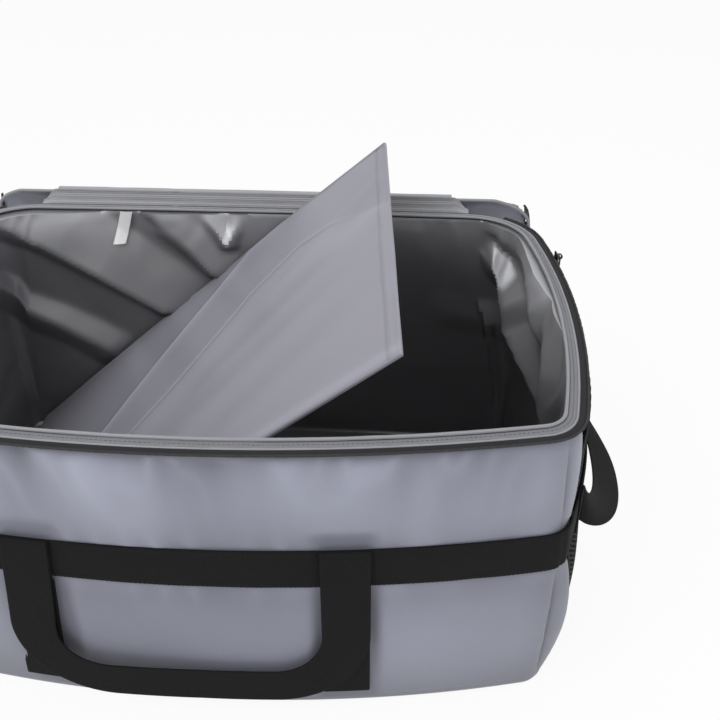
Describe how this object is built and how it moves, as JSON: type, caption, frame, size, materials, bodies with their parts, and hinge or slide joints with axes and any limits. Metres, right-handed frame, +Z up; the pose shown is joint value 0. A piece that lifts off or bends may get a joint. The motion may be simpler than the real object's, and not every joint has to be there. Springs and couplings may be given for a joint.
{
  "type": "insulated cooler bag",
  "caption": "Large soft insulated carry bag with its zip lid thrown back, a lifted stiff base board, webbing handles and side net pockets.",
  "frame": {"origin": "centre of the flat underside of the bag, on the surface it stands on", "axes": "+Z up, +X to the right seen from the front and along the longest side, -Y to the front, the lid is hinged at +Y"},
  "size_m": [0.726, 0.6669, 0.3529],
  "materials": {
    "grey_cloth": "coated bluish grey oxford cloth",
    "white_foam": "closed-cell foam sheet",
    "grey_lining": "glossy dark grey sheet",
    "grey_binding": "grey woven tape",
    "black_tape": "black zip tape",
    "black_coil": "black nylon coil",
    "black_webbing": "ribbed black webbing",
    "black_net": "black net",
    "board_cloth": "coated grey cloth",
    "board_core": "fluted plastic sheet",
    "dark_metal": "black enamel",
    "white_label": "white satin ribbon"
  },
  "bodies": {
    "bag": {"shell_front": "grey_cloth", "shell_back": "grey_cloth", "shell_left": "grey_cloth", "shell_right": "grey_cloth", "shell_bottom": "grey_cloth", "foam_front": "white_foam", "foam_back": "white_foam", "foam_left": "white_foam", "foam_right": "white_foam", "foam_bottom": "white_foam", "lining_front": "grey_lining", "lining_back": "grey_lining", "lining_left": "grey_lining", "lining_right": "grey_lining", "lining_bottom": "grey_lining", "rim_binding": "grey_binding", "rim_piping": "grey_binding", "zip_tape_base": "black_tape", "zip_coil_base": "black_coil", "hinge_strip": "grey_binding", "band_front": "black_webbing", "band_back": "black_webbing", "band_left": "black_webbing", "band_right": "black_webbing", "strap_front_left": "black_webbing", "strap_front_right": "black_webbing", "strap_back_left": "black_webbing", "strap_back_right": "black_webbing", "handle_end_right_front": "black_webbing", "handle_end_right_back": "black_webbing", "handle_end_left_front": "black_webbing", "handle_end_left_back": "black_webbing", "net_pocket_left": "black_net", "net_pocket_right": "black_net", "net_hem_left": "black_webbing", "net_hem_right": "black_webbing", "care_label": "white_label"},
    "lid": {"lid_shell": "grey_cloth", "lid_foam": "white_foam", "lid_lining": "grey_lining", "lid_skirt": "grey_binding", "zip_tape_lid": "black_tape", "zip_coil_lid": "black_coil"},
    "board": {"board_cover_under": "board_cloth", "board_core": "board_core", "board_cover_upper": "board_cloth"},
    "front_handle": {"handle_front": "black_webbing"},
    "back_handle": {"handle_back": "black_webbing"},
    "left_handle": {"handle_left": "black_webbing"},
    "right_handle": {"handle_right": "black_webbing"},
    "right_slider": {"slider_right": "dark_metal"},
    "left_slider": {"slider_left": "dark_metal"},
    "right_pull": {"pull_right": "dark_metal"},
    "left_pull": {"pull_left": "dark_metal"}
  },
  "joints": [
    {"name": "lid_hinge", "type": "hinge", "parent": "bag", "child": "lid", "pos_m": [0, 0.1855, 0.3035], "axis": [1, 0, 0], "range_deg": [0, 229]},
    {"name": "board_tilt", "type": "hinge", "parent": "bag", "child": "board", "pos_m": [-0.2655, 0, 0.0101], "axis": [0, 1, 0], "range_deg": [0, 40]},
    {"name": "front_handle_swing", "type": "hinge", "parent": "bag", "child": "front_handle", "pos_m": [0, -0.2044, 0.194], "axis": [-1, 0, 0], "range_deg": [0, 163]},
    {"name": "back_handle_swing", "type": "hinge", "parent": "bag", "child": "back_handle", "pos_m": [0, 0.18433, 0.194], "axis": [1, 0, 0], "range_deg": [0, 163]},
    {"name": "right_handle_swing", "type": "hinge", "parent": "bag", "child": "right_handle", "pos_m": [0.30593, -0.00579, 0.194], "axis": [0, -1, 0], "range_deg": [0, 110]},
    {"name": "left_handle_swing", "type": "hinge", "parent": "bag", "child": "left_handle", "pos_m": [-0.30593, -0.00579, 0.194], "axis": [0, 1, 0], "range_deg": [0, 110]},
    {"name": "right_slider_travel", "type": "hinge", "parent": "bag", "child": "right_slider", "pos_m": [-0.39784, -0.01557, 0.28857], "axis": [0, 0, -1], "range_deg": [0, 18]},
    {"name": "left_slider_travel", "type": "hinge", "parent": "bag", "child": "left_slider", "pos_m": [0.39784, -0.01557, 0.28857], "axis": [0, 0, 1], "range_deg": [0, 18]},
    {"name": "right_pull_swing", "type": "hinge", "parent": "right_slider", "child": "right_pull", "pos_m": [0.30172, 0.08829, 0.29002], "axis": [0.1444, -0.9895, 0], "range_deg": [0, 170]},
    {"name": "left_pull_swing", "type": "hinge", "parent": "left_slider", "child": "left_pull", "pos_m": [-0.30172, 0.08829, 0.29002], "axis": [0.1444, 0.9895, 0], "range_deg": [0, 170]}
  ],
  "couplings": [
    {"joint": "board_tilt", "follows": "lid_hinge", "ratio": 0.17467},
    {"joint": "back_handle_swing", "follows": "lid_hinge", "ratio": 0.71178}
  ]
}
